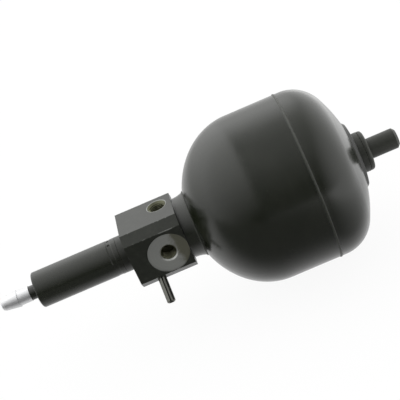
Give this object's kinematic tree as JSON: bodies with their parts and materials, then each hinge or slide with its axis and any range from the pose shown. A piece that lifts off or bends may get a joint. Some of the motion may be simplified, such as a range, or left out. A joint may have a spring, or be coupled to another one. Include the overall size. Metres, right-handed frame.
{
  "type": "brake accumulator",
  "caption": "Gas-charged hydraulic brake accumulator: round steel vessel with a mounting stud, a ported valve block, a cut-off valve tube and a hose nipple.",
  "frame": {"origin": "on the axis, at the shoulder where the mounting stud leaves its collar", "axes": "+X along the axis out of the mounting stud, +Z out of the valve block's upper port, -Y out of its front port"},
  "size_m": [0.2447, 0.1, 0.1],
  "materials": {
    "black_paint": "satin",
    "pad_plastic": "matte",
    "nipple_aluminium": "satin",
    "pin_steel": "oiled",
    "machined_steel": "ground",
    "spring_steel": "oiled",
    "diaphragm_rubber": "matte",
    "seal_rubber": "matte",
    "backup_plastic": "matte"
  },
  "bodies": {
    "accumulator": {"fluid_shell": "black_paint", "gas_shell": "black_paint", "end_pad": "pad_plastic", "filler_boss": "black_paint", "mounting_stud": "black_paint", "filler_seal": "seal_rubber", "diaphragm": "diaphragm_rubber", "clamp_ring": "machined_steel", "neck_boss": "black_paint", "neck_seal": "seal_rubber", "check_seat": "machined_steel", "check_spring": "spring_steel", "valve_block": "black_paint", "locating_pin": "pin_steel", "valve_housing": "black_paint", "housing_seal": "seal_rubber", "return_nipple": "nipple_aluminium", "valve_sleeve": "machined_steel", "sleeve_seals": "seal_rubber", "sleeve_circlip": "machined_steel", "piston_seal": "seal_rubber", "piston_backup_ring": "backup_plastic", "control_spring": "spring_steel", "spring_shim": "machined_steel"},
    "cut_off_spool": {"control_piston": "machined_steel", "spring_seat": "machined_steel"},
    "check_valve": {"check_ball": "machined_steel"},
    "diaphragm_centre": {"diaphragm_button": "machined_steel"}
  },
  "joints": [
    {"name": "spool_slide", "type": "slide", "parent": "accumulator", "child": "cut_off_spool", "axis": [-1, 0, 0], "range_m": [0, 0.0022], "stiffness_N_per_m": 4000, "springref_m": -0.002, "deforming": ["control_spring"]},
    {"name": "check_lift", "type": "slide", "parent": "accumulator", "child": "check_valve", "axis": [1, 0, 0], "range_m": [0, 0.0012], "stiffness_N_per_m": 200, "springref_m": -0.001, "deforming": ["check_spring"]},
    {"name": "diaphragm_travel", "type": "slide", "parent": "accumulator", "child": "diaphragm_centre", "axis": [1, 0, 0], "range_m": [0, 0.055], "stiffness_N_per_m": 60, "springref_m": -0.01, "deforming": ["diaphragm"]}
  ]
}
